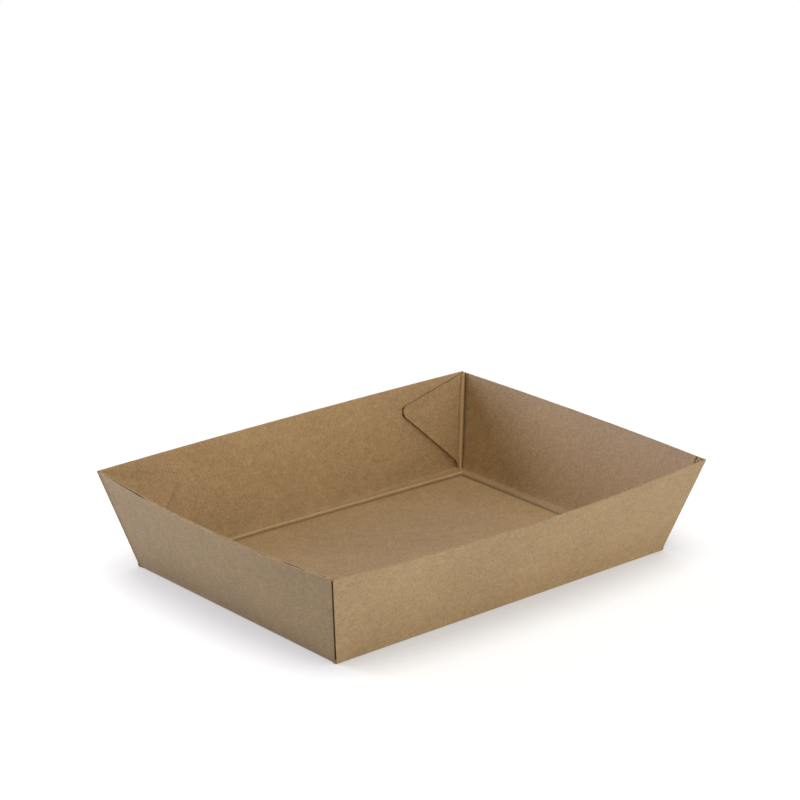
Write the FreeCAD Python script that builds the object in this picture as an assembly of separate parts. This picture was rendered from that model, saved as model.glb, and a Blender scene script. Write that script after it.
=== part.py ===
"""An open cardboard tray, folded from one die-cut sheet of fine corrugated board.

The floor and the four leaning walls are one sheet. Each end of the two short walls carries a
three-cornered glue flap, which is folded round the corner and glued to the inside of the long
wall. The frame is +Z up, +X along the long side, origin under the middle of the floor.
"""
import FreeCAD, Part
import math
import os

V = FreeCAD.Vector

# Tray, outside
base_length = 181.0
base_width = 129.0
rim_length = 204.0
rim_width = 152.0
rim_height = 41.7

# Board, and how far the middle of each rim bellies out
board = 1.2
long_wall_bow = 4.8
short_wall_bow = 4.4

# Folds round the floor: a pressed groove, the ridge that it throws up, and a fillet to the wall
foot_height = 1.7
heel_radius = 0.9
groove_inset = 6.0
groove_width = 1.5
groove_depth = 0.35
ridge_width = 2.65
ridge_rise = 0.8
fillet_rise = 1.0

# Corner folds, each crushed into a round bead
fold_radius = 1.0
fold_proud = 0.05

# Glue flaps, and how deep their glued face is pressed into the long wall
flap_reach = 41.4
flap_tip_drop = 9.9
flap_corner_drop = 0.4
flap_tip_radius = 3.3
flap_bond = 0.15

# Derived from the above
half_length = base_length / 2
half_width = base_width / 2
wall_rise = rim_height - foot_height
lean_long = math.atan2(rim_width / 2 - half_width, wall_rise)
lean_short = math.atan2(rim_length / 2 - half_length, wall_rise)
rim_slant = wall_rise / math.cos(lean_long)


def outward(lean):
    """Unit vector square to the outside of a leaning wall that looks along +Y."""
    return V(0, math.cos(lean), -math.sin(lean))


def upward(lean):
    """Unit vector up the slope of a leaning wall that looks along +Y."""
    return V(0, math.sin(lean), math.cos(lean))


def quarter_turn(shape):
    """The same shape turned from facing +Y to facing +X."""
    return shape.rotated(V(0, 0, 0), V(0, 0, 1), -90)


def half_turn(shape):
    """The same shape on the opposite side of the tray."""
    return shape.rotated(V(0, 0, 0), V(0, 0, 1), 180)


def wall_skin(foot_half, foot_out, rim_half, rim_out, lean, bow):
    """Outside face of a wall that looks along +Y, straight at its foot and bowed at its rim."""
    foot = Part.makeLine(V(-foot_half, foot_out, foot_height), V(foot_half, foot_out, foot_height))
    middle = V(0, rim_out, rim_height) + outward(lean) * bow
    rim = Part.Arc(V(-rim_half, rim_out, rim_height), middle, V(rim_half, rim_out, rim_height))
    return Part.makeRuledSurface(foot, rim.toShape())


def layer(skin, lean, depth, thickness):
    """Board of the given thickness that follows a wall's outside face, starting at a depth."""
    moved = skin.copy()
    moved.translate(outward(lean) * -depth)
    return moved.extrude(outward(lean) * -thickness)


def fold_strip(fold_half, foot_out, lean):
    """Fold between the floor and a wall that looks along +Y, with the floor's edge up to it."""
    groove_in = foot_out - groove_inset - groove_width / 2
    groove_out = foot_out - groove_inset + groove_width / 2
    wall_inside = V(0, foot_out, foot_height) + outward(lean) * -board
    climb = (board + fillet_rise - wall_inside.z) / math.cos(lean)
    fillet_top = wall_inside + upward(lean) * climb + outward(lean) * (board / 4)
    ridge_back = V(0, groove_out + ridge_width, board)
    ridge_top = V(0, groove_out + ridge_width / 2, board + ridge_rise)
    ridge_front = V(0, groove_out, board)
    groove_bottom = V(0, foot_out - groove_inset, board - groove_depth)

    outline = [
        Part.makeLine(V(0, groove_in, 0), V(0, foot_out, 0)),
        Part.makeLine(V(0, foot_out, 0), V(0, foot_out, foot_height)),
        Part.makeLine(V(0, foot_out, foot_height), fillet_top),
        Part.makeLine(fillet_top, ridge_back),
        Part.Arc(ridge_back, ridge_top, ridge_front).toShape(),
        Part.Arc(ridge_front, groove_bottom, V(0, groove_in, board)).toShape(),
        Part.makeLine(V(0, groove_in, board), V(0, groove_in, 0)),
    ]
    section = Part.Face(Part.Wire(outline))
    section.translate(V(-fold_half, 0, 0))
    return section.extrude(V(2 * fold_half, 0, 0))


def heel_waste(fold_half, foot_out):
    """Sliver outside the rounded heel of a fold, to be cut away from its square corner."""
    centre = V(0, foot_out - heel_radius, heel_radius)
    middle = centre + V(0, math.sqrt(0.5), -math.sqrt(0.5)) * heel_radius
    under = V(0, centre.y, 0)
    side = V(0, foot_out, centre.z)
    corner = V(0, foot_out, 0)
    outline = [
        Part.makeLine(under, corner),
        Part.makeLine(corner, side),
        Part.Arc(side, middle, under).toShape(),
    ]
    section = Part.Face(Part.Wire(outline))
    section.translate(V(-fold_half, 0, 0))
    return section.extrude(V(2 * fold_half, 0, 0))


def floor_plate():
    """Flat floor inside the four pressed grooves."""
    inset = groove_inset + groove_width / 2
    length = base_length - 2 * inset
    width = base_width - 2 * inset
    return Part.makeBox(length, width, board, V(-length / 2, -width / 2, 0))


def long_wall_skin():
    return wall_skin(half_length, half_width, rim_length / 2, rim_width / 2, lean_long, long_wall_bow)


def short_wall():
    """Short wall that faces +X, ending at both corner folds inside the long walls."""
    setback = (board - flap_bond + fold_radius) / math.cos(lean_long)
    skin = wall_skin(
        half_width - setback, half_length, rim_width / 2 - setback, rim_length / 2,
        lean_short, short_wall_bow,
    )
    return quarter_turn(layer(skin, lean_short, 0, board))


def corner_fold():
    """Bead where a short wall turns into its flap, at the +X +Y corner."""
    in_x = (fold_radius - fold_proud) / math.cos(lean_short)
    in_y = (board - flap_bond + fold_radius) / math.cos(lean_long)
    foot = V(half_length - in_x, half_width - in_y, foot_height)
    rim = V(rim_length / 2 - in_x, rim_width / 2 - in_y, rim_height)
    along = (rim - foot).normalize()
    start = foot - along * ((foot_height - board) / along.z)
    rod = Part.makeCylinder(fold_radius, rim_slant + rim_height, start, along)
    below_rim = Part.makeBox(rim_length, rim_width, rim_height)
    return rod.common(below_rim)


def flap():
    """Glue flap on the inside of the +Y long wall, at the +X end."""
    origin = V(0, half_width, foot_height)
    up = upward(lean_long)
    from_corner = (fold_radius - fold_proud) / math.cos(lean_short)
    tip = V(rim_length / 2 - flap_reach, 0, 0) + up * (rim_slant - flap_tip_drop)
    top = V(rim_length / 2 - from_corner, 0, 0) + up * (rim_slant - flap_corner_drop)
    bottom = V(half_length - from_corner, 0, 0)
    outside = outward(lean_long) * long_wall_bow
    inside = outward(lean_long) * -(2 * board + long_wall_bow)
    outline = Part.makePolygon([origin + outside + p for p in (top, tip, bottom, top)])
    prism = Part.Face(outline).extrude(inside - outside)
    at_tip = [e for e in prism.Edges if all(abs(v.X - tip.x) < 0.001 for v in e.Vertexes)]
    prism = prism.makeFillet(flap_tip_radius, at_tip)
    two_ply = layer(long_wall_skin(), lean_long, board / 2, 1.5 * board - flap_bond)
    return two_ply.common(prism)


def folded_tray():
    short_half = half_width - board / math.cos(lean_long)
    long_wall = layer(long_wall_skin(), lean_long, 0, board)
    long_fold = fold_strip(half_length, half_width, lean_long)
    short_fold = quarter_turn(fold_strip(short_half, half_length, lean_short))
    corner = corner_fold().fuse(flap())
    other_corner = corner.mirror(V(0, 0, 0), V(1, 0, 0))
    side = [long_wall, long_fold, short_wall(), short_fold, corner, other_corner]
    pieces = side + [half_turn(piece) for piece in side]
    waste = [heel_waste(half_length, half_width), quarter_turn(heel_waste(short_half, half_length))]
    waste = waste + [half_turn(sliver) for sliver in waste]
    return floor_plate().fuse(pieces).cut(waste).removeSplitter()


tray = folded_tray()
os.makedirs("parts", exist_ok=True)
tray.exportStep("parts/folded_tray.step")
print("solids", len(tray.Solids), "valid", tray.isValid(), "volume", round(tray.Volume, 1))
print("box", tray.BoundBox)
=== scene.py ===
"""The looks of the folded board tray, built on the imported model.

The tray is drawn as real micro-flute board: two liners, crushed folds with their beads and
grooves, and a wavy medium that shows wherever a cut crosses the flutes. Points are worked out in
millimetres and turned into metres once, when a mesh is made.
"""

import math
from collections import namedtuple

import bpy
import bmesh
import numpy as np
from mathutils import Matrix, Vector, noise


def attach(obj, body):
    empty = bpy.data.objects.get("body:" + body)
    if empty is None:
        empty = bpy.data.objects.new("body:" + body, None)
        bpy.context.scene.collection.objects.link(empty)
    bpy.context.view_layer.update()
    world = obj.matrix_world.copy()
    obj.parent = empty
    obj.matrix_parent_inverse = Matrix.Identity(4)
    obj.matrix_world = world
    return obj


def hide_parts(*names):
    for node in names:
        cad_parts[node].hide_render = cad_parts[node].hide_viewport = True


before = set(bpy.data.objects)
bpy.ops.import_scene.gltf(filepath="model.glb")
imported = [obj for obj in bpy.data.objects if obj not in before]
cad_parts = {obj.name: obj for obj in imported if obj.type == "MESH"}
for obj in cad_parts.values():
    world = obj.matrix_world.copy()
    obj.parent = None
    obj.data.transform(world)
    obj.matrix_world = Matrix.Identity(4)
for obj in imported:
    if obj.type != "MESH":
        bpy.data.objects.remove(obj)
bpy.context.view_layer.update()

# Tray in millimetres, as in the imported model
base_length = 181.0
base_width = 129.0
rim_length = 204.0
rim_width = 152.0
rim_height = 41.7
long_wall_bow = 4.8
short_wall_bow = 4.4
board = 1.2
foot_height = 1.7
heel_radius = 0.9
flap_reach = 41.4
flap_tip_drop = 9.9
flap_corner_drop = 0.4
flap_tip_radius = 3.3
flap_bond = 0.15

# Board make-up
liner = 0.2
medium = 0.18
flute_pitch = 2.4
flute_inset = 2.4
flute_step = 0.2
flute_margin = 0.35

# Corner folds and the floor's fold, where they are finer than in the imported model
fold_outside = 0.3
fold_zone = 3.3
# Painted shade over the outside of each corner fold, the dark seam between a short wall and its flap
fold_painted_shade = -1.2
bead_reach = 1.0
bead_blend = 0.35
flap_start = 0.11
heel_tuck = 1.0
wall_foot_inset = 1.2
flat_inset = 12.0
underside = 0.02

# Small irregularities of walls, rims, folds, floor and flaps
wall_warp = 0.22
rim_wear = 0.12
rim_crush = 0.75
rim_crush_start = 0.96
fold_wear = 0.1
floor_sag = 0.15
flap_lift = 0.35
ridge_ripple = 0.05

# The groove along the +Y wall runs askew: from skew_from_x on, its inset grows by this share of x.
# The skew sets in between the two values of y, and fades out towards the flat of the floor.
groove_skew = 0.029
skew_from_x = -25.0
skew_fade = 3.0
skew_start_y, skew_full_y = 20.0, 45.0

# How far a cut has squeezed each liner inward, at the most. A long wall that faces +Y has one value
# for its -x end and one for its +x end. shut is a share of the board's thickness.
rim_pinch = 0.6
flap_pinch = 0.3
BACK_PINCHES = (1.0, 0.35)
FRONT_PINCHES = (0.25, 0.0)
shut = 0.48

# How far the wavy medium lies behind a cut edge
recess_least = 0.3
recess_spread = 0.8

# Mesh making
merge_distance = 0.004
sharp_angle = 32.0
wall_rows = 13
long_wall_columns = 205
short_wall_columns = 160
corner_line_count = 30
floor_fold_rings = 64
FLOOR_COUNTS = (150, 108)

# Derived sizes
half_length = base_length / 2
half_width = base_width / 2
wall_rise = rim_height - foot_height
lean_long = math.atan2(rim_width / 2 - half_width, wall_rise)
lean_short = math.atan2(rim_length / 2 - half_length, wall_rise)
rim_slant = wall_rise / math.cos(lean_long)

# Section of the floor's fold: inset from the outer face, height, and tone, with painted shade below 0
# in the groove and the hollow by the wall, and painted highlight above 0 on the ridge
fold_section = [
    (0.9, 1.7, 0.0), (0.9, 2.2, 0.0), (1.4, 1.5, -0.1), (2.2, 1.12, -0.3), (3.1, 1.08, -0.3),
    (3.6, 1.5, 0.6), (4.2, 1.72, 1.0), (4.9, 1.62, 1.0), (5.4, 1.25, 0.0), (5.8, 0.55, -1.5),
    (6.4, 0.45, -1.6), (7.0, 0.75, -1.2), (7.5, 1.15, -0.3), (8.2, board, 0.0), (flat_inset, board, 0.0),
]
# Over the floor's ends the ridge's painted highlight gives way to slight painted shade
ridge_tone_at_ends = -0.2

# Section of the bead inside a corner: distance along the flap, distance along the wall, and tone, with
# painted highlight on the bead above 0 and painted shade in the grooves beside it below 0
bead_section = [
    (0.0, 2.6, 0.0), (0.0, 2.1, 0.0), (-0.35, 1.8, -1.5), (-0.7, 1.4, -2.0), (0.2, 1.1, -0.6),
    (0.6, 1.25, 1.2), (1.1, 1.0, 1.7), (1.25, 0.5, 1.4), (1.35, 0.1, 0.0), (1.6, -0.15, -0.8),
    (1.9, 0.0, -0.3), (2.4, 0.0, 0.0),
]

MILLIMETRE = 0.001
LINER, OUTER, CUT, MEDIUM = 0, 1, 2, 3

Side = namedtuple("Side", "foot_half foot_out rim_half rim_out lean bow")
Panel = namedtuple("Panel", "along across shift")


# Shapes of the walls

def outward(lean):
    """Square to the outside of a wall that faces +Y."""
    return np.array([0.0, math.cos(lean), -math.sin(lean)])


def upward(lean):
    """Up the slope of a wall that faces +Y."""
    return np.array([0.0, math.sin(lean), math.cos(lean)])


def unit(vector):
    return vector / np.linalg.norm(vector)


def spin(degrees):
    """Turn about Z, for points stored as rows."""
    angle = math.radians(degrees)
    cos, sin = math.cos(angle), math.sin(angle)
    return np.array([[cos, sin, 0.0], [-sin, cos, 0.0], [0.0, 0.0, 1.0]])


def wobble(points, wavelength, seed):
    """Smooth noise between 0 and 1 at each point, in a pattern of the given wavelength."""
    flat = points.reshape(-1, 3) / wavelength + seed
    values = [0.5 + 0.5 * noise.noise(Vector(p)) for p in flat]
    return np.clip(np.array(values).reshape(points.shape[:-1]), 0.0, 1.0)


def skin(side, s, v, depth=0.0):
    """Points of a wall that faces +Y: s from -1 to 1 along it, v from 0 at the foot to 1 at the rim."""
    s, v, depth = np.broadcast_arrays(s, v, depth)
    radius = (side.rim_half ** 2 + side.bow ** 2) / (2 * side.bow)
    spread = math.asin(side.rim_half / radius)
    belly = radius * (np.cos(s * spread) - math.cos(spread))
    flat = np.ones_like(s, dtype=float)
    foot = np.stack([s * side.foot_half, flat * side.foot_out, flat * foot_height], -1)
    rim = np.stack([radius * np.sin(s * spread), flat * side.rim_out, flat * rim_height], -1)
    rim = rim + belly[..., None] * outward(side.lean)
    points = foot + (rim - foot) * v[..., None]
    warp = wall_warp * wobble(points, 45.0, side.foot_out) * np.sin(np.pi * (s + 1) / 2) * v
    return points - (depth + warp)[..., None] * outward(side.lean)


normals_dot = math.sin(lean_long) * math.sin(lean_short)
corner_setback = (board - flap_bond + fold_outside * (1 - normals_dot)) / math.cos(lean_long)
LONG = Side(half_length, half_width, rim_length / 2, rim_width / 2, lean_long, long_wall_bow)
SHORT = Side(
    half_width - corner_setback, half_length,
    rim_width / 2 - corner_setback, rim_length / 2, lean_short, short_wall_bow,
)


# Collecting one mesh from grids of points

class Sheet:
    """Grids of points that make up one mesh, with flute coordinates and a finish for each face."""

    def __init__(self):
        self.points = []
        self.quads = []
        self.flutes = []
        self.tones = []
        self.finishes = []
        self.turn = np.eye(3)
        self.count = 0

    def grid(self, points, panel, finish, tone=0.0):
        """Adds rows by columns of points. finish is one number, or one for each row of faces. tone is each
        point's painted shade below 0 and painted highlight above 0.
        """
        rows, columns = points.shape[:2]
        index = self.count + np.arange(rows * columns).reshape(rows, columns)
        quads = np.stack([index[:-1, :-1], index[:-1, 1:], index[1:, 1:], index[1:, :-1]], -1)
        across = points @ panel.across + panel.shift
        along = points @ panel.along + panel.shift
        finishes = np.broadcast_to(np.reshape(finish, (-1, 1)), (rows - 1, columns - 1))
        self.points.append(points.reshape(-1, 3) @ self.turn)
        self.tones.append(np.broadcast_to(tone, (rows, columns)).reshape(-1))
        self.flutes.append(np.stack([along, across], -1).reshape(-1, 2))
        self.quads.append(quads.reshape(-1, 4))
        self.finishes.append(finishes.reshape(-1))
        self.count += rows * columns

    def build(self, name, materials):
        """Makes the Blender object, with doubled points merged and normals facing out."""
        mesh = bpy.data.meshes.new(name)
        quads = np.concatenate(self.quads)
        flutes = np.concatenate(self.flutes) * MILLIMETRE
        mesh.from_pydata((np.concatenate(self.points) * MILLIMETRE).tolist(), [], quads.tolist())
        mesh.uv_layers.new(name="sheet").uv.foreach_set("vector", flutes[quads.ravel()].ravel())
        tones = mesh.attributes.new("tone", "FLOAT", "POINT")
        tones.data.foreach_set("value", np.concatenate(self.tones).astype(np.float32))
        mesh.polygons.foreach_set("material_index", np.concatenate(self.finishes).astype(np.int32))
        for material in materials:
            mesh.materials.append(material)
        work = bmesh.new()
        work.from_mesh(mesh)
        bmesh.ops.remove_doubles(work, verts=work.verts, dist=merge_distance * MILLIMETRE)
        bmesh.ops.recalc_face_normals(work, faces=work.faces)
        work.to_mesh(mesh)
        work.free()
        mesh.shade_smooth()
        mesh.set_sharp_from_angle(angle=math.radians(sharp_angle))
        made = bpy.data.objects.new(name, mesh)
        bpy.context.scene.collection.objects.link(made)
        return made


def between(start, end, fraction):
    return start + (end - start) * fraction


def distances(path):
    """How far along a path each of its points lies."""
    return np.concatenate([[0.0], np.cumsum(np.linalg.norm(np.diff(path, axis=0), axis=1))])


def resampled(points, travel, steps):
    """Points that lie at the distances travel along a path, worked out anew at the given steps."""
    return np.stack([np.interp(steps, travel, column) for column in points.T], -1)


def rounded(points, count):
    """A path whose corners are cut three times, as evenly spaced points."""
    path = np.array(points, dtype=float)
    for _ in range(3):
        cut = np.stack([between(path[:-1], path[1:], 0.25), between(path[:-1], path[1:], 0.75)], 1)
        path = np.concatenate([path[:1], cut.reshape(-1, path.shape[1]), path[-1:]])
    travel = distances(path)
    return resampled(path, travel, np.linspace(0.0, travel[-1], count))


def cut_edge(sheet, outside, inside, out_of, panel):
    """Closes a plain cut edge from the outside face to the inside face, slightly crowned and worn."""
    fractions = [0.0, 0.15, 0.5, 0.85, 1.0]
    crowns = [0.0, 0.05, 0.02, 0.05, 0.0]
    rows = []
    for fraction, crown in zip(fractions, crowns):
        rows.append(between(outside, inside, fraction) - out_of * crown)
    sheet.grid(np.stack(rows), panel, CUT)


def inward(edge, beside):
    """Unit vectors from an edge into its sheet. beside is the next row in."""
    step = beside - edge
    return step / np.linalg.norm(step, axis=1)[:, None]


def fluted_edge(sheet, medium_sheet, outside, inside, beside, panel, pinch):
    """Closes a cut edge that crosses the flutes: both liners' edges, and the open cells between.

    pinch is how far the cut has squeezed each liner towards the other, at the most.
    """
    into = inward(outside, beside)
    crush = (liner + pinch * wobble(outside, 14.0, 17.0 + panel.shift)[:, None]) / board
    crush = np.minimum(crush, shut)
    near = between(outside, inside, crush)
    far = between(outside, inside, 1 - crush)
    deep_near = between(outside, inside, liner / board) + into * flute_inset
    deep_far = between(outside, inside, 1 - liner / board) + into * flute_inset
    rows = np.stack([outside, near, deep_near, deep_far, far, inside])
    # The cells' sides and back take the medium's dark colour, partly as painted shade of the open cells
    sheet.grid(rows, panel, [CUT, MEDIUM, MEDIUM, MEDIUM, CUT])
    add_medium(medium_sheet, outside, inside, into, panel)


def add_medium(sheet, outside, inside, into, panel):
    """The wavy medium between two liners, as a thin closed ribbon that starts just inside the cut."""
    travel = distances(outside)
    steps = np.linspace(flute_margin, travel[-1] - flute_margin, round(travel[-1] / flute_step))
    outer, inner, sheetward = (resampled(points, travel, steps) for points in (outside, inside, into))
    middle = between(outer, inner, 0.5)
    thick = inner - outer
    swing = (board - 2 * liner - medium) / 2 / board
    half = medium / 2 / board
    faces = []
    recess = recess_least + recess_spread * wobble(outer, 4.0, 29.0 + panel.shift)[:, None]
    for side, insets in ((-half, (recess, flute_inset)), (half, (flute_inset, recess))):
        for inset in insets:
            place = middle + sheetward * inset
            wave = np.sin(2 * np.pi * (place @ panel.across + panel.shift) / flute_pitch)
            faces.append(place + thick * (swing * wave + side)[:, None])
    faces.append(faces[0])
    ring = np.stack(faces)
    sheet.grid(ring, panel, MEDIUM)
    for end in (0, -1):
        cap = np.stack([ring[[0, 1], end], ring[[3, 2], end]])
        sheet.grid(cap, panel, MEDIUM)


# Long walls

def heel_rows(foot_points, direction):
    """Rows of points from under the heel up to the foot of a wall, below the given foot points."""
    rows = [foot_points - direction * (heel_radius + heel_tuck)]
    rows[0][:, 2] = 0.0
    for angle in np.linspace(-90.0, 0.0, 6):
        inset = heel_radius * (1 - math.cos(math.radians(angle)))
        row = foot_points - direction * inset
        row[:, 2] = heel_radius * (1 + math.sin(math.radians(angle)))
        rows.append(row)
    return np.stack(rows)


def buried_rows(wall_foot, direction, count):
    """As many rows inside the floor, to close a wall's inner face below its foot."""
    deep = wall_foot - direction * heel_tuck
    deep[:, 2] = board / 2
    return np.stack([between(deep, wall_foot, k / count) for k in range(count)])


def long_wall(sheet, medium_sheet, turn, shift, pinches):
    sheet.turn = medium_sheet.turn = spin(turn)
    panel = Panel(np.array([1.0, 0.0, 0.0]), upward(lean_long), shift)
    s = np.linspace(-1.0, 1.0, long_wall_columns)
    even_rows = np.linspace(0.0, rim_crush_start, wall_rows)
    rows = np.concatenate([even_rows, [0.975, 0.985, 0.993, 1.0]])
    s_grid, v_grid = np.meshgrid(s, rows)
    near_rim = np.clip((v_grid - rim_crush_start) / (1 - rim_crush_start), 0.0, 1.0) ** 2
    uneven = wobble(skin(LONG, s_grid, v_grid), 6.0, 14.0 + shift)
    pressed = rim_crush * near_rim * between(0.5, 1.0, uneven)
    outside = skin(LONG, s_grid, v_grid, 0.25 * pressed)
    inside = skin(LONG, s_grid, v_grid, board - 0.75 * pressed)
    for face, wavelength, seed in ((outside, 2.2, 3.0), (inside, 1.7, 8.0)):
        wear = rim_wear * wobble(face[-1], wavelength, seed + shift)
        face[-1] -= wear[:, None] * upward(lean_long)

    facing = np.array([0.0, 1.0, 0.0])
    heel = heel_rows(outside[0], facing)
    outside = np.concatenate([heel, outside])
    inside = np.concatenate([buried_rows(inside[0], facing, len(heel)), inside])
    sheet.grid(outside, panel, OUTER)
    sheet.grid(inside, panel, LINER)
    sheet.grid(np.stack([outside[0], inside[0]]), panel, OUTER)
    cut_edge(sheet, outside[-1], inside[-1], upward(lean_long), panel)

    wall = len(heel)
    for end, beside, pinch in ((0, 1, pinches[0]), (-1, -2, pinches[1])):
        sheet.grid(np.stack([outside[:wall + 1, end], inside[:wall + 1, end]]), panel, CUT)
        edge_out, edge_in = outside[wall:, end], inside[wall:, end]
        fluted_edge(sheet, medium_sheet, edge_out, edge_in, outside[wall:, beside], panel, pinch)


# Short walls with their corner folds and flaps

def neighbour(x, height, depth):
    """A point on the long wall beside a short wall's +x end, when the short wall faces +Y."""
    v = height / rim_slant
    s = -x / (LONG.foot_half * (1 - v) + LONG.rim_half * v)
    return skin(LONG, s, v, depth) @ spin(-90)


def flap_ends(fraction):
    """Lower and upper end of one line across the flap, in the flat of the long wall."""
    start = fold_outside * math.cos(lean_short)
    foot = np.array([half_length - start, 0.0])
    top = np.array([rim_length / 2 - start, rim_slant - flap_corner_drop])
    tip = np.array([rim_length / 2 - flap_reach, rim_slant - flap_tip_drop])
    to_foot, to_top = unit(foot - tip), unit(top - tip)
    half_angle = math.acos(to_foot @ to_top) / 2
    centre = tip + unit(to_foot + to_top) * flap_tip_radius / math.sin(half_angle)
    tangent = flap_tip_radius / math.tan(half_angle)
    line = unit(top - foot)
    square = np.array([-line[1], line[0]])
    reach = (tip - foot) @ square
    past = (centre - foot) @ square / reach + flap_tip_radius / reach
    fraction = fraction * past
    ends = []
    for corner, towards, sign in ((foot, to_foot, -1.0), (top, to_top, 1.0)):
        point = between(corner, tip, fraction)
        if np.linalg.norm(point - tip) < tangent:
            off = (point - centre) @ square
            on_line = point - line * ((point - centre) @ line)
            point = on_line + line * sign * math.sqrt(max(flap_tip_radius ** 2 - off ** 2, 0.0))
        ends.append(point)
    return ends


def flap_columns(fractions, rows):
    """Outside and inside points of the flap, one column for each fraction of its reach."""
    outside, inside = [], []
    for fraction in fractions:
        low, high = flap_ends(fraction)
        x = between(low[0], high[0], rows)
        height = between(low[1], high[1], rows)
        free = 1 - (1 - (2 * rows - 1) ** 8) * (1 - fraction ** 10)
        lift = flap_lift * free * (1 - 0.6 * fraction) * min(1.0, fraction / 0.12)
        outside.append(neighbour(x, height, board - flap_bond + lift))
        inside.append(neighbour(x, height, 2 * board - flap_bond + lift))
    return np.stack(outside, 1), np.stack(inside, 1)


def corner_lines(count):
    """Lines of the corner fold at +x.

    Gives the start and end of its core, the outer and inner offset of each line from the core, and
    each line's reach along the flap and its tone: painted highlight on the bead, painted shade in the
    grooves.
    """
    face_s = outward(lean_short)
    face_f = np.array([math.cos(lean_long), 0.0, -math.sin(lean_long)])
    feet = np.array([SHORT.foot_half, SHORT.foot_out, foot_height]) - face_s * fold_outside
    rims = np.array([SHORT.rim_half, SHORT.rim_out, rim_height]) - face_s * fold_outside
    along = unit(rims - feet)
    away_s = unit(np.cross(along, face_s))
    away_f = unit(np.cross(face_f, along))
    angles = np.linspace(0.0, math.acos(face_s @ face_f), count)[:, None]
    side = unit(face_f - face_s * (face_s @ face_f))
    outer = (face_s * np.cos(angles) + side * np.sin(angles)) * fold_outside
    corner = -(face_s + face_f) * (board - fold_outside) / (1 + face_s @ face_f)
    section = rounded(bead_section, count)
    inner = corner + away_f * section[:, :1] + away_s * section[:, 1:2]
    return feet, rims, outer, inner, section[:, 0], section[:, 2]


def fold_ends(reach):
    """Where lines of the corner fold start and end, as shares of the wall, from their reach."""
    run_in = board / math.cos(lean_short) - fold_outside * math.cos(lean_short)
    lower_run = (half_length - rim_length / 2 + flap_reach) / (rim_slant - flap_tip_drop)
    upper_fall = (flap_tip_drop - flap_corner_drop) / flap_reach
    lower = (run_in + reach) / (lower_run + math.tan(lean_short)) / rim_slant
    lower *= np.clip((reach - bead_reach) / bead_blend, 0.0, 1.0)
    drop = (flap_corner_drop + (run_in + reach) * upper_fall) / rim_slant
    upper = 1.0 - drop * np.clip(reach, 0.0, 1.0)
    return lower, upper


def corner_columns(rows):
    """Outside and inside points of the corner fold at +x, a column for each line, and its tones of painted
    highlight and painted shade.
    """
    feet, rims, outer, inner, reach, tone = corner_lines(corner_line_count)
    lower, upper = fold_ends(reach)
    outside, inside = [], []
    inner_rise = board * math.sin(lean_short)
    for out_offset, in_offset, low, high in zip(outer, inner, lower, upper):
        outside.append(slanted(feet, rims, out_offset, foot_height + wall_rise * high * rows))
        heights = foot_height + wall_rise * between(low, high, rows) + inner_rise
        inside.append(slanted(feet, rims, in_offset, heights))
    return np.stack(outside, 1), np.stack(inside, 1), tone


def slanted(feet, rims, offset, heights):
    """Points at the given heights on a line that runs beside the one from feet to rims."""
    v = (heights - feet[2] - offset[2]) / (rims[2] - feet[2])
    return feet + offset + (rims - feet) * v[:, None]


def short_wall(sheet, medium_sheet, turn, shift):
    sheet.turn = medium_sheet.turn = spin(turn)
    rows = np.linspace(0.0, 1.0, wall_rows)
    clear = 1.0 - fold_zone / SHORT.rim_half
    s_grid, v_grid = np.meshgrid(np.linspace(-clear, clear, short_wall_columns), rows)
    wall_out = skin(SHORT, s_grid, v_grid)
    wall_in = skin(SHORT, s_grid, v_grid, board)
    for face, seed in ((wall_out, 1.0), (wall_in, 5.0)):
        face[-1] -= rim_wear * wobble(face[-1], 1.8, seed + shift)[:, None] * upward(lean_short)

    wall_panel = Panel(upward(lean_short), np.array([1.0, 0.0, 0.0]), shift)
    fold = corner_columns(rows)
    near_tip = 0.86 + 0.14 * np.sin(np.linspace(0.1, 1.0, 12) * np.pi / 2)
    fractions = np.concatenate([np.linspace(flap_start, 0.86, 34), near_tip])
    flap = flap_columns(fractions, rows)

    facing = np.array([0.0, 1.0, 0.0])
    heel = heel_rows(wall_out[0], facing)
    buried = buried_rows(wall_in[0], facing, len(heel))
    full_out = np.concatenate([heel, wall_out])
    full_in = np.concatenate([buried, wall_in])
    sheet.grid(full_out, wall_panel, OUTER)
    sheet.grid(full_in, wall_panel, LINER)
    sheet.grid(np.stack([full_out[0], full_in[0]]), wall_panel, LINER)
    fluted_edge(sheet, medium_sheet, wall_out[-1], wall_in[-1], wall_out[-2], wall_panel, rim_pinch)

    for hand, end in ((1.0, -1), (-1.0, 0)):
        wall_ends = full_out[:, end], full_in[:, end]
        add_corner(sheet, medium_sheet, hand, wall_ends, wall_panel, fold, flap)


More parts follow.
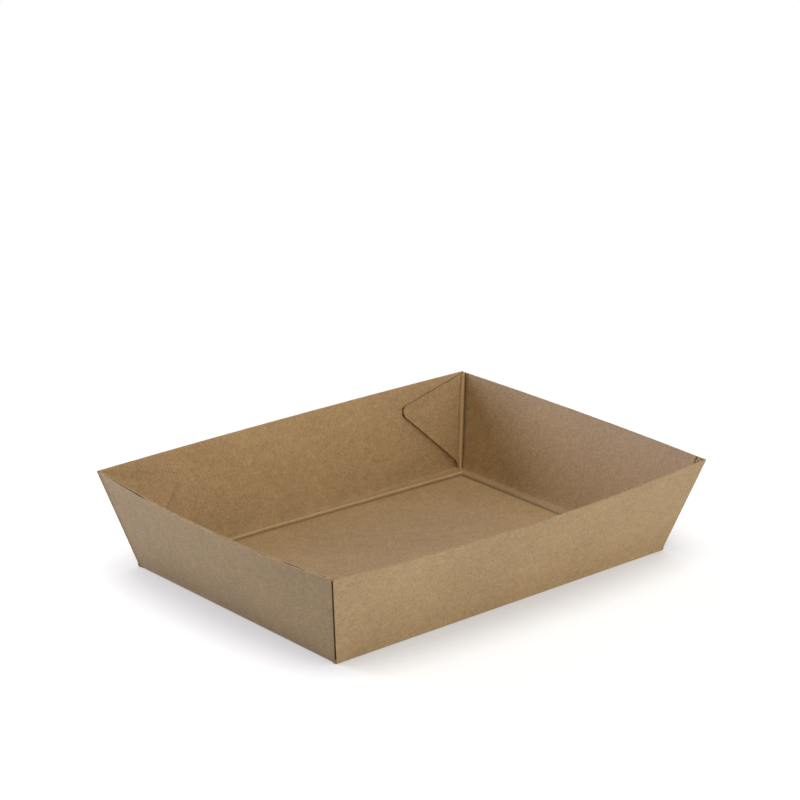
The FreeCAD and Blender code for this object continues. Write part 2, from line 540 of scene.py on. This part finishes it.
def add_corner(sheet, medium_sheet, hand, wall_ends, wall_panel, fold, flap):
    """Fold and flap at one end of a short wall: hand is 1 for its +x end and -1 for its -x end."""
    flip = np.array([hand, 1.0, 1.0])
    fold_out, fold_in = fold[0] * flip, fold[1] * flip
    flap_out, flap_in = flap[0] * flip, flap[1] * flip
    heel_count = len(wall_ends[0]) - len(fold_out)
    directions = np.linspace(0.0, np.pi / 2, fold_out.shape[1])
    heel_columns, buried_columns = [], []
    for k, angle in enumerate(directions):
        direction = np.array([hand * math.sin(angle), math.cos(angle), 0.0])
        heel_columns.append(heel_rows(fold_out[:1, k], direction)[:, 0])
        buried_columns.append(buried_rows(fold_in[:1, k], direction, heel_count)[:, 0])
    fold_out = np.concatenate([np.stack(heel_columns, 1), fold_out])
    fold_in = np.concatenate([np.stack(buried_columns, 1), fold_in])
    fold_out = np.concatenate([wall_ends[0][:, None], fold_out], 1)
    fold_in = np.concatenate([wall_ends[1][:, None], fold_in], 1)
    # Painted shade on the outside of the fold, growing from the wall's end over six lines
    painted_tone = np.minimum(1.0, np.arange(fold_out.shape[1]) / 6)
    sheet.grid(fold_out, wall_panel, OUTER, fold_painted_shade * painted_tone)
    # The fold's inside takes the bead's painted highlight and the grooves' painted shade
    sheet.grid(fold_in, wall_panel, LINER, np.concatenate([[0.0], fold[2]]))
    sheet.grid(np.stack([fold_out[0], fold_in[0]]), wall_panel, LINER)
    cut_edge(sheet, fold_out[-1], fold_in[-1], upward(lean_short), wall_panel)
    sheet.grid(np.stack([fold_out[:heel_count + 1, -1], fold_in[:heel_count + 1, -1]]), wall_panel, LINER)

    flap_panel = make_flap_panel(hand, wall_panel.shift)
    flap_out = np.concatenate([fold_out[heel_count:, -1:], flap_out], 1)
    flap_in = np.concatenate([fold_in[heel_count:, -1:], flap_in], 1)
    sheet.grid(flap_out, flap_panel, OUTER)
    sheet.grid(flap_in, flap_panel, LINER)
    edge_out, edge_in = around(flap_out), around(flap_in)
    fluted_edge(sheet, medium_sheet, edge_out, edge_in, beside_edge(flap_out), flap_panel, flap_pinch)


def around(points):
    """The free edge of a flap: along its lower side, round its tip and back along its upper side."""
    return np.concatenate([points[0, :-1], points[:, -1], points[-1, -2::-1]])


def beside_edge(points):
    """A point a little further in for each point of a flap's free edge."""
    tip = points[1:-1, -4]
    return np.concatenate([points[1, :-1], tip[:1], tip, tip[-1:], points[-2, -2::-1]])


def make_flap_panel(hand, shift):
    """Flute directions of a flap: they stay in line with its wall's flutes across the fold."""
    up = np.array([hand * math.sin(lean_long), 0.0, math.cos(lean_long)])
    out = np.array([0.0, 1.0, 0.0])
    slant_short = wall_rise / math.cos(lean_short)
    tilt = math.atan2(rim_width / 2 - half_width, slant_short)
    tilt += math.atan2(rim_length / 2 - half_length, rim_slant)
    along = up * math.cos(tilt) + out * math.sin(tilt)
    across = out * math.cos(tilt) - up * math.sin(tilt)
    return Panel(along, across, shift + 7.0 * hand)


# Floor with its pressed grooves

def spread(inset):
    """Points across a rectangle inset from the base's outline, along x and along y."""
    x, y = half_length - inset, half_width - inset
    return np.linspace(-x, x, FLOOR_COUNTS[0] + 1), np.linspace(-y, y, FLOOR_COUNTS[1] + 1)


def rectangle(inset, height):
    """A grid of points over a rectangle inset from the base's outline, at one height."""
    grid_x, grid_y = np.meshgrid(*spread(inset))
    return np.stack([grid_x, grid_y, np.full_like(grid_x, height)], -1)


def ring(inset, height):
    """Points round a rectangle inset from the base's outline, at one height."""
    x, y = half_length - inset, half_width - inset
    a, b = spread(inset)
    sides = [
        np.stack([a, np.full_like(a, -y)], -1),
        np.stack([np.full_like(b, x), b], -1),
        np.stack([a[::-1], np.full_like(a, y)], -1),
        np.stack([np.full_like(b, -x), b[::-1]], -1),
    ]
    flat = np.concatenate([side[:-1] for side in sides] + [sides[0][:1]])
    return np.concatenate([flat, np.full((len(flat), 1), height)], 1)


def pressed_fold(section, shift):
    """Points of the fold round the floor, in rings from the walls inward, and their tones of painted shade
    and painted highlight.
    """
    insets, tones = section[:, :1], section[:, 2:]
    points = np.stack([ring(inset, height) for inset, height, _ in section])
    free = np.clip(np.minimum(insets - wall_foot_inset, (flat_inset - insets) / skew_fade), 0.0, 1.0)
    wear = fold_wear * (wobble(points, 3.5, 2.0) - 0.5)
    over_ends = half_length - np.abs(points[..., 0]) < half_width - np.abs(points[..., 1])
    wear += ridge_ripple * over_ends * np.sin(2 * np.pi * (points[..., 1] + shift) / flute_pitch)
    at_back = np.clip((points[..., 1] - skew_start_y) / (skew_full_y - skew_start_y), 0.0, 1.0)
    skew = groove_skew * np.maximum(points[..., 0], skew_from_x)
    points[..., 1] -= skew * at_back * free
    points[..., 2] += wear * free
    # Over the ends the ridge takes slight painted shade instead of its painted highlight
    end_tones = np.where(tones > 0, ridge_tone_at_ends, tones)
    return points, np.where(over_ends, end_tones, tones)


def tray_floor(sheet, shift):
    sheet.turn = np.eye(3)
    panel = Panel(np.array([1.0, 0.0, 0.0]), np.array([0.0, 1.0, 0.0]), shift)
    section = rounded(fold_section, floor_fold_rings)
    points, tones = pressed_fold(section, shift)
    # The fold's points carry its painted shade and painted highlight as tones
    sheet.grid(points, panel, LINER, tones)

    middle = rectangle(section[-1][0], board)
    share_x, share_y = middle[..., 0] / middle[-1, -1, 0], middle[..., 1] / middle[-1, -1, 1]
    sag = np.sin(np.pi * (share_x + 1) / 2) * np.sin(np.pi * (share_y + 1) / 2)
    middle[..., 2] -= floor_sag * sag * wobble(middle, 30.0, 4.0)
    sheet.grid(middle, panel, LINER)

    low = points[0].copy()
    low[:, 2] = underside
    sheet.grid(np.stack([points[0], low]), panel, LINER)
    sheet.grid(rectangle(section[0][0], underside), panel, OUTER)


# Materials

def add_node(tree, kind, inputs=None, **settings):
    """A shader node with its settings, and its inputs set or linked."""
    made = tree.nodes.new(kind)
    for name, value in settings.items():
        setattr(made, name, value)
    for name, value in (inputs or {}).items():
        if isinstance(value, bpy.types.NodeSocket):
            tree.links.new(value, made.inputs[name])
        else:
            made.inputs[name].default_value = value
    return made


def math_node(tree, operation, *values):
    return add_node(tree, "ShaderNodeMath", dict(enumerate(values)), operation=operation).outputs[0]


def noise_node(tree, vector, scale, detail=2.0):
    inputs = {"Vector": vector, "Scale": scale, "Detail": detail}
    return add_node(tree, "ShaderNodeTexNoise", inputs).outputs["Fac"]


def stretched(tree, vector, angle, scale):
    """Texture coordinates turned by an angle and then scaled by different amounts."""
    turned = add_node(tree, "ShaderNodeVectorRotate", {"Vector": vector, "Angle": math.radians(angle)})
    inputs = {0: turned.outputs[0], 1: scale}
    return add_node(tree, "ShaderNodeVectorMath", inputs, operation="MULTIPLY").outputs[0]


def new_material(name):
    material = bpy.data.materials.new(name)
    material.use_nodes = True
    tree = material.node_tree
    shader = tree.nodes["Principled BSDF"]
    return material, tree, shader


def kraft_liner(name, dark, light):
    """Kraft paper: clouded pulp, fine fibres, dark specks and flutes showing through, with painted shade
    and painted highlight at folds, beads and ridges, from each point's tone.
    """
    material, tree, shader = new_material(name)
    sheet_uv = add_node(tree, "ShaderNodeUVMap", uv_map="sheet").outputs[0]
    place = add_node(tree, "ShaderNodeTexCoord").outputs["Object"]
    blotch = noise_node(tree, place, 22.0, 2.0)
    cloud = noise_node(tree, place, 260.0, 3.0)
    fibre_a = noise_node(tree, stretched(tree, sheet_uv, 8.0, (3200.0, 420.0, 1.0)), 1.0, 2.0)
    fibre_b = noise_node(tree, stretched(tree, sheet_uv, -24.0, (2600.0, 520.0, 1.0)), 1.0, 2.0)
    grain = noise_node(tree, place, 1500.0, 3.0)

    split = add_node(tree, "ShaderNodeSeparateXYZ", {0: sheet_uv})
    drift = noise_node(tree, place, 30.0, 1.0)
    turns = math_node(tree, "MULTIPLY", split.outputs["Y"], 2 * math.pi / (flute_pitch * MILLIMETRE))
    phase = math_node(tree, "MULTIPLY_ADD", drift, 1.5, turns)
    flutes = math_node(tree, "SINE", phase)

    tone = math_node(tree, "MULTIPLY_ADD", math_node(tree, "SUBTRACT", blotch, 0.5), 0.55, 0.5)
    for value, weight in ((cloud, 0.55), (fibre_a, 0.9), (fibre_b, 0.8), (grain, 1.3)):
        tone = math_node(tree, "MULTIPLY_ADD", math_node(tree, "SUBTRACT", value, 0.5), weight, tone)
    tone = math_node(tree, "MULTIPLY_ADD", flutes, 0.015, tone)
    # Painted shade and painted highlight of folds, beads and ridges, read from each point's tone
    painted_tone = add_node(tree, "ShaderNodeAttribute", attribute_name="tone").outputs["Fac"]
    tone = math_node(tree, "MULTIPLY_ADD", painted_tone, 0.5, tone)
    colour = add_node(tree, "ShaderNodeMix", {0: tone, 6: dark, 7: light}, data_type="RGBA").outputs[2]

    cells = add_node(tree, "ShaderNodeTexVoronoi", {"Vector": place, "Scale": 120.0})
    pick = add_node(tree, "ShaderNodeSeparateColor", {0: cells.outputs["Color"]}).outputs[0]
    size = math_node(tree, "MULTIPLY", math_node(tree, "POWER", pick, 6.0), 0.05)
    speck = math_node(tree, "LESS_THAN", cells.outputs["Distance"], size)
    darker = [0.35 * c for c in dark[:3]] + [1.0]
    # Painted shade also pulls the grooves towards the specks' dark colour
    painted_shade = math_node(tree, "MULTIPLY", painted_tone, -0.25)
    share = math_node(tree, "MAXIMUM", math_node(tree, "MULTIPLY", speck, 0.6), painted_shade)
    specks_and_painted_shade = {0: share, 6: colour, 7: darker}
    colour = add_node(tree, "ShaderNodeMix", specks_and_painted_shade, data_type="RGBA").outputs[2]

    relief = math_node(tree, "MULTIPLY", flutes, 0.006)
    for value, height in ((fibre_a, 0.03), (fibre_b, 0.025), (cloud, 0.05), (grain, 0.02)):
        relief = math_node(tree, "MULTIPLY_ADD", value, height, relief)
    bump = add_node(tree, "ShaderNodeBump", {"Height": relief, "Strength": 1.0, "Distance": MILLIMETRE})
    rough = math_node(tree, "MULTIPLY_ADD", cloud, 0.16, 0.5)
    tree.links.new(colour, shader.inputs["Base Color"])
    tree.links.new(bump.outputs[0], shader.inputs["Normal"])
    tree.links.new(rough, shader.inputs["Roughness"])
    shader.inputs["Specular IOR Level"].default_value = 0.5
    return material


def cut_fibre(name, dark, light):
    """Torn pulp at a cut edge, paler and coarser than the liner."""
    material, tree, shader = new_material(name)
    place = add_node(tree, "ShaderNodeTexCoord").outputs["Object"]
    coarse = noise_node(tree, place, 900.0, 3.0)
    fine = noise_node(tree, place, 3800.0, 2.0)
    tone = math_node(tree, "MULTIPLY_ADD", math_node(tree, "SUBTRACT", coarse, 0.5), 1.6, 0.5)
    tone = math_node(tree, "MULTIPLY_ADD", math_node(tree, "SUBTRACT", fine, 0.5), 0.8, tone)
    colour = add_node(tree, "ShaderNodeMix", {0: tone, 6: dark, 7: light}, data_type="RGBA").outputs[2]
    relief = math_node(tree, "MULTIPLY_ADD", fine, 0.04, math_node(tree, "MULTIPLY", coarse, 0.08))
    bump = add_node(tree, "ShaderNodeBump", {"Height": relief, "Strength": 1.0, "Distance": MILLIMETRE})
    tree.links.new(colour, shader.inputs["Base Color"])
    tree.links.new(bump.outputs[0], shader.inputs["Normal"])
    shader.inputs["Roughness"].default_value = 0.95
    shader.inputs["Specular IOR Level"].default_value = 0.15
    return material


def flute_medium(name, dark, light):
    """Thin recycled paper of the wavy medium and of the open cells behind cut edges, darker than the
    liners: partly its own colour and partly painted shade of the cells.
    """
    material, tree, shader = new_material(name)
    place = add_node(tree, "ShaderNodeTexCoord").outputs["Object"]
    pulp = noise_node(tree, place, 1500.0, 3.0)
    colour = add_node(tree, "ShaderNodeMix", {0: pulp, 6: dark, 7: light}, data_type="RGBA").outputs[2]
    tree.links.new(colour, shader.inputs["Base Color"])
    shader.inputs["Roughness"].default_value = 0.95
    shader.inputs["Specular IOR Level"].default_value = 0.1
    return material


# Stage, light and camera

COOL = (0.90, 0.93, 1.18)
WARM = (1.0, 0.95, 0.90)

# Name, azimuth and elevation in degrees, size in metres, power in watts, colour
LAMPS = [
    ("window", -158.0, 18.0, 0.9, 18.5, COOL),
    ("front", 12.0, 12.0, 0.9, 13.5, WARM),
    ("behind", 150.0, 45.0, 0.9, 2.2, COOL),
    ("above", 0.0, 88.0, 0.9, 11.0, WARM),
]
lamp_distance = 1.7

# Floor as the camera sees it: how far its painted shadow reaches from the tray, how much that painted
# shadow is lightened, the share of white glow near the tray, and the radii between which that share grows
# to 1
shadow_reach = 0.06
shadow_lift = 0.27
near_white = 0.75
near_radius, far_radius = 0.10, 0.28


def floor_material():
    """Pale matte floor. The camera sees it mostly as white glow that darkens close to the tray in a painted
    shadow from ambient occlusion, and partly as lamplit paper.
    """
    material, tree, shader = new_material("pale_floor")
    ray = add_node(tree, "ShaderNodeLightPath")
    direct = math_node(tree, "MAXIMUM", ray.outputs["Is Camera Ray"], ray.outputs["Is Glossy Ray"])
    direct = math_node(tree, "MAXIMUM", direct, ray.outputs["Is Transmission Ray"])
    seen = {0: direct, 6: (0.8, 0.8, 0.8, 1.0), 7: (1.9, 1.9, 1.9, 1.0)}
    colour = add_node(tree, "ShaderNodeMix", seen, data_type="RGBA").outputs[2]
    diffuse = add_node(tree, "ShaderNodeBsdfDiffuse", {"Color": colour}).outputs[0]
    # Painted shadow: the camera's white glow darkens with ambient occlusion near the tray
    nearby = add_node(tree, "ShaderNodeAmbientOcclusion", {"Distance": shadow_reach}, samples=16)
    lifted = math_node(tree, "ADD", nearby.outputs["AO"], shadow_lift)
    shade = math_node(tree, "MINIMUM", lifted, 1.0)
    glow = add_node(tree, "ShaderNodeEmission", {"Strength": shade}).outputs[0]
    place = add_node(tree, "ShaderNodeTexCoord").outputs["Object"]
    reach = add_node(tree, "ShaderNodeVectorMath", {0: place}, operation="LENGTH").outputs["Value"]
    fade = {
        "Value": reach, "From Min": near_radius, "From Max": far_radius,
        "To Min": near_white, "To Max": 1.0,
    }
    white = add_node(tree, "ShaderNodeMapRange", fade, interpolation_type="SMOOTHSTEP").outputs[0]
    share = math_node(tree, "MULTIPLY", direct, white)
    mixed = add_node(tree, "ShaderNodeMixShader", {0: share, 1: diffuse, 2: glow}).outputs[0]
    tree.links.new(mixed, tree.nodes["Material Output"].inputs["Surface"])
    tree.nodes.remove(shader)
    return material


def add_stage():
    size = 6.0
    corners = [(-size, -size, 0.0), (size, -size, 0.0), (size, size, 0.0), (-size, size, 0.0)]
    mesh = bpy.data.meshes.new("floor")
    mesh.from_pydata(corners, [], [(0, 1, 2, 3)])
    mesh.materials.append(floor_material())
    stage = bpy.data.objects.new("floor", mesh)
    bpy.context.scene.collection.objects.link(stage)
    return stage


def add_world(strength):
    world = bpy.data.worlds.new("studio")
    bpy.context.scene.world = world
    world.use_nodes = True
    tree = world.node_tree
    ray = add_node(tree, "ShaderNodeLightPath")
    direct = math_node(tree, "MAXIMUM", ray.outputs["Is Camera Ray"], ray.outputs["Is Glossy Ray"])
    direct = math_node(tree, "MAXIMUM", direct, ray.outputs["Is Transmission Ray"])
    level = add_node(tree, "ShaderNodeMix", {0: direct, 2: strength, 3: 1.0}, data_type="FLOAT").outputs[0]
    background = tree.nodes["Background"]
    background.inputs["Color"].default_value = (1.0, 1.0, 1.0, 1.0)
    tree.links.new(level, background.inputs["Strength"])


def add_softbox(name, azimuth, elevation, size, power, colour):
    """Square area lamp that looks at the tray from an azimuth and elevation, in metres and watts."""
    a, e = math.radians(azimuth), math.radians(elevation)
    away = Vector((math.sin(a) * math.cos(e), -math.cos(a) * math.cos(e), math.sin(e)))
    lamp = bpy.data.lights.new(name, "AREA")
    lamp.shape = "SQUARE"
    lamp.size = size
    lamp.energy = power
    lamp.color = colour
    made = bpy.data.objects.new(name, lamp)
    made.location = away * lamp_distance
    made.rotation_euler = away.to_track_quat("Z", "Y").to_euler()
    bpy.context.scene.collection.objects.link(made)


def add_camera():
    """Camera at the photograph's place: aimed level with the view axis, beside and above the tray."""
    azimuth, elevation, roll = (math.radians(x) for x in (-41.4, 19.07, 0.58))
    distance, shift_right, shift_up = 1.1603, -0.0013, 0.0665
    focal_pixels, frame_pixels, sensor = 2757.8, 800.0, 36.0
    back = Vector((
        math.sin(azimuth) * math.cos(elevation),
        -math.cos(azimuth) * math.cos(elevation),
        math.sin(elevation),
    ))
    level = Vector((math.cos(azimuth), math.sin(azimuth), 0.0))
    upright = back.cross(level)
    right = level * math.cos(roll) + upright * math.sin(roll)
    up = upright * math.cos(roll) - level * math.sin(roll)
    lens = bpy.data.cameras.new("camera")
    lens.sensor_width = sensor
    lens.lens = focal_pixels * sensor / frame_pixels
    lens.clip_start = 0.05
    camera = bpy.data.objects.new("camera", lens)
    turned = Matrix((right, up, back)).transposed().to_4x4()
    camera.matrix_world = Matrix.Translation(back * distance + right * shift_right + up * shift_up) @ turned
    bpy.context.scene.collection.objects.link(camera)
    bpy.context.scene.camera = camera


def main():
    inner_paper = kraft_liner("inner_liner", (0.30, 0.19, 0.078, 1.0), (0.61, 0.41, 0.192, 1.0))
    outer_paper = kraft_liner("outer_liner", (0.36, 0.24, 0.110, 1.0), (0.67, 0.48, 0.260, 1.0))
    edge_pulp = cut_fibre("cut_fibre", (0.38, 0.26, 0.13, 1.0), (0.68, 0.50, 0.29, 1.0))
    wavy_paper = flute_medium("flute_medium", (0.14, 0.09, 0.045, 1.0), (0.25, 0.17, 0.09, 1.0))
    finishes = [inner_paper, outer_paper, edge_pulp, wavy_paper]

    sheet, medium_sheet = Sheet(), Sheet()
    tray_floor(sheet, 0.0)
    for turn, shift, pinches in ((0, 11.3, BACK_PINCHES), (180, 23.9, FRONT_PINCHES)):
        long_wall(sheet, medium_sheet, turn, shift, pinches)
    for turn, shift in ((-90, 37.1), (90, 51.7)):
        short_wall(sheet, medium_sheet, turn, shift)
    tray = sheet.build("folded_board", finishes)
    flutes = medium_sheet.build("wavy_medium", finishes)
    for piece in (tray, flutes):
        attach(piece, "root")
    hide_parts("folded_tray")

    add_stage()
    add_world(0.06)
    for lamp in LAMPS:
        add_softbox(*lamp)
    add_camera()
    bpy.context.scene.view_settings.view_transform = "Standard"


main()
